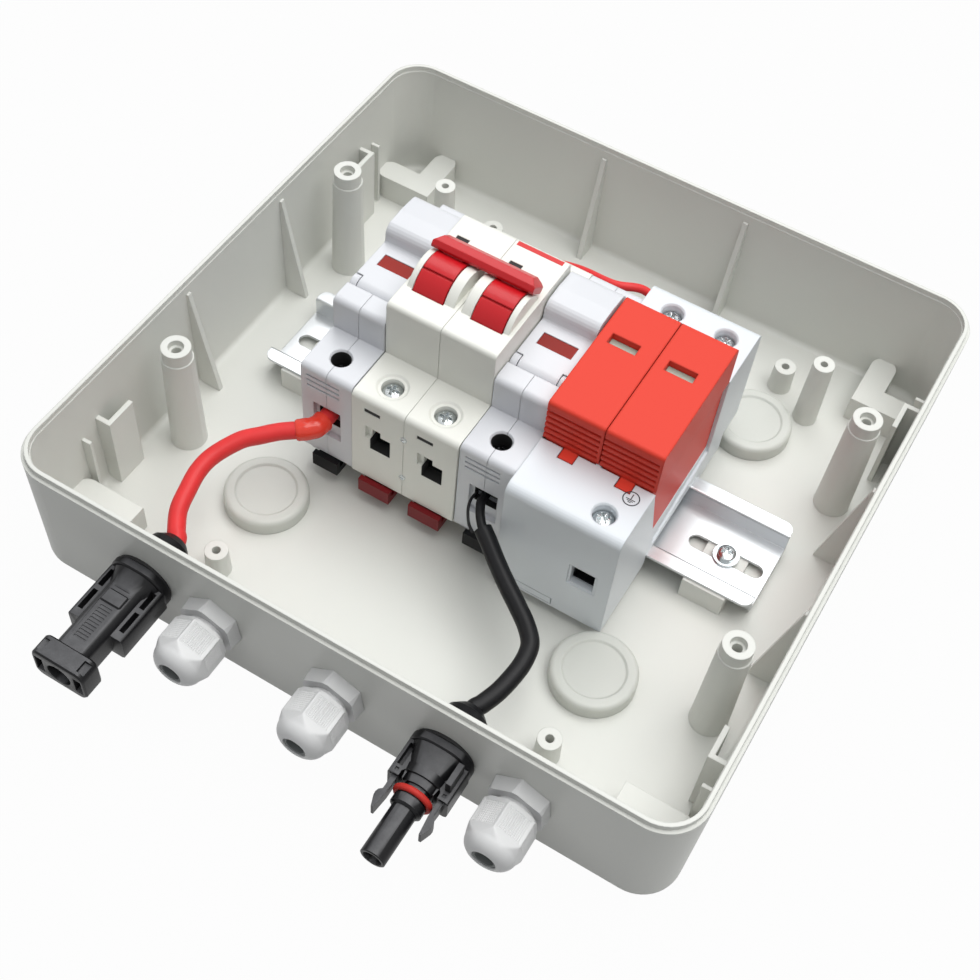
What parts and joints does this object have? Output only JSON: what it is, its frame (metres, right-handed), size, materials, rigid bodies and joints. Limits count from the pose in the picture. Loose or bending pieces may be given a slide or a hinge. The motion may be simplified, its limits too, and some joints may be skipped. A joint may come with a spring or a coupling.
{
  "type": "solar combiner box",
  "caption": "Plastic enclosure base with fuse holders, a two pole breaker and a surge arrester on a rail, panel connectors and cable glands, shown without its lid.",
  "frame": {"origin": "centre of the enclosure's underside", "axes": "+Z out of the open side, +X along the rail towards the surge arrester, -Y out through the wall with the cable entries"},
  "size_m": [0.214, 0.2466, 0.0803],
  "materials": {
    "enclosure_grey": "fine spark texture",
    "plug_clear": "translucent",
    "rail_zinc": "bright zinc",
    "steel": "bright zinc",
    "brass": "plain",
    "holder_white": "smooth",
    "window_red": "clear red",
    "ceramic": "fired",
    "black_plastic": "smooth",
    "breaker_white": "smooth",
    "toggle_red": "satin",
    "arrester_white": "smooth",
    "arrester_orange": "smooth",
    "flag_grey": "smooth",
    "black_rubber": "smooth",
    "red_rubber": "smooth",
    "nylon_white": "smooth",
    "seal_grey": "smooth",
    "cable_red": "smooth",
    "cable_black": "smooth"
  },
  "bodies": {
    "box": {"enclosure_base": "enclosure_grey", "hole_plugs": "plug_clear", "din_rail": "rail_zinc", "rail_screws": "steel", "rail_washers": "steel", "fuse_a_case_left": "holder_white", "fuse_a_case_right": "holder_white", "fuse_a_contacts": "brass", "fuse_a_screws": "steel", "fuse_a_clamps": "steel", "fuse_b_case_left": "holder_white", "fuse_b_case_right": "holder_white", "fuse_b_contacts": "brass", "fuse_b_screws": "steel", "fuse_b_clamps": "steel", "breaker_pole_left": "breaker_white", "breaker_pole_right": "breaker_white", "breaker_screws": "steel", "breaker_clamps": "steel", "arrester_base": "arrester_white", "arrester_contacts": "brass", "arrester_screws": "steel", "arrester_clamps": "steel", "plug_body": "black_plastic", "plug_contact": "steel", "plug_seal_ring": "red_rubber", "socket_body": "black_plastic", "socket_contact": "steel", "connector_nuts": "black_plastic", "connector_gaskets": "black_rubber", "gland_bodies": "nylon_white", "gland_caps": "nylon_white", "gland_seals": "seal_grey", "gland_nuts": "nylon_white", "lead_positive": "cable_red", "lead_negative": "cable_black", "sleeve_positive": "red_rubber", "sleeve_negative": "black_rubber", "jumper_positive": "cable_red", "jumper_negative": "cable_black"},
    "breaker_handle": {"breaker_toggle_left": "toggle_red", "breaker_toggle_right": "toggle_red", "breaker_tie_bar": "toggle_red"},
    "fuse_carrier_a": {"fuse_a_carrier": "holder_white", "fuse_a_window": "window_red", "fuse_a_link": "ceramic"},
    "fuse_carrier_b": {"fuse_b_carrier": "holder_white", "fuse_b_window": "window_red", "fuse_b_link": "ceramic"},
    "surge_module_left": {"arrester_module_left": "arrester_orange", "arrester_flag_left": "flag_grey", "arrester_blades_left": "steel"},
    "surge_module_right": {"arrester_module_right": "arrester_orange", "arrester_flag_right": "flag_grey", "arrester_blades_right": "steel"},
    "clip_fuse_a": {"fuse_a_rail_clip": "black_plastic"},
    "clip_fuse_b": {"fuse_b_rail_clip": "black_plastic"},
    "clip_breaker_left": {"breaker_clip_left": "toggle_red"},
    "clip_breaker_right": {"breaker_clip_right": "toggle_red"},
    "clip_arrester": {"arrester_clip": "arrester_white"}
  },
  "joints": [
    {"name": "breaker_switch", "type": "hinge", "parent": "box", "child": "breaker_handle", "pos_m": [-0.0197, 0.001, 0.068], "axis": [1, 0, 0], "range_deg": [0, 78]},
    {"name": "fuse_a_opening", "type": "hinge", "parent": "box", "child": "fuse_carrier_a", "pos_m": [-0.0469, -0.006, 0.061], "axis": [1, 0, 0], "range_deg": [0, 90]},
    {"name": "fuse_b_opening", "type": "hinge", "parent": "box", "child": "fuse_carrier_b", "pos_m": [0.0075, -0.006, 0.061], "axis": [1, 0, 0], "range_deg": [0, 90]},
    {"name": "module_left_pull", "type": "slide", "parent": "box", "child": "surge_module_left", "axis": [0, 0, 1], "range_m": [0, 0.035]},
    {"name": "module_right_pull", "type": "slide", "parent": "box", "child": "surge_module_right", "axis": [0, 0, 1], "range_m": [0, 0.035]},
    {"name": "clip_fuse_a_pull", "type": "slide", "parent": "box", "child": "clip_fuse_a", "axis": [0, -1, 0], "range_m": [0, 0.003], "stiffness_N_per_m": 500, "springref_m": -0.002},
    {"name": "clip_fuse_b_pull", "type": "slide", "parent": "box", "child": "clip_fuse_b", "axis": [0, -1, 0], "range_m": [0, 0.003], "stiffness_N_per_m": 500, "springref_m": -0.002},
    {"name": "clip_breaker_left_pull", "type": "slide", "parent": "box", "child": "clip_breaker_left", "axis": [0, -1, 0], "range_m": [0, 0.003], "stiffness_N_per_m": 500, "springref_m": -0.002},
    {"name": "clip_breaker_right_pull", "type": "slide", "parent": "box", "child": "clip_breaker_right", "axis": [0, -1, 0], "range_m": [0, 0.003], "stiffness_N_per_m": 500, "springref_m": -0.002},
    {"name": "clip_arrester_pull", "type": "slide", "parent": "box", "child": "clip_arrester", "axis": [0, -1, 0], "range_m": [0, 0.003], "stiffness_N_per_m": 500, "springref_m": -0.002}
  ]
}
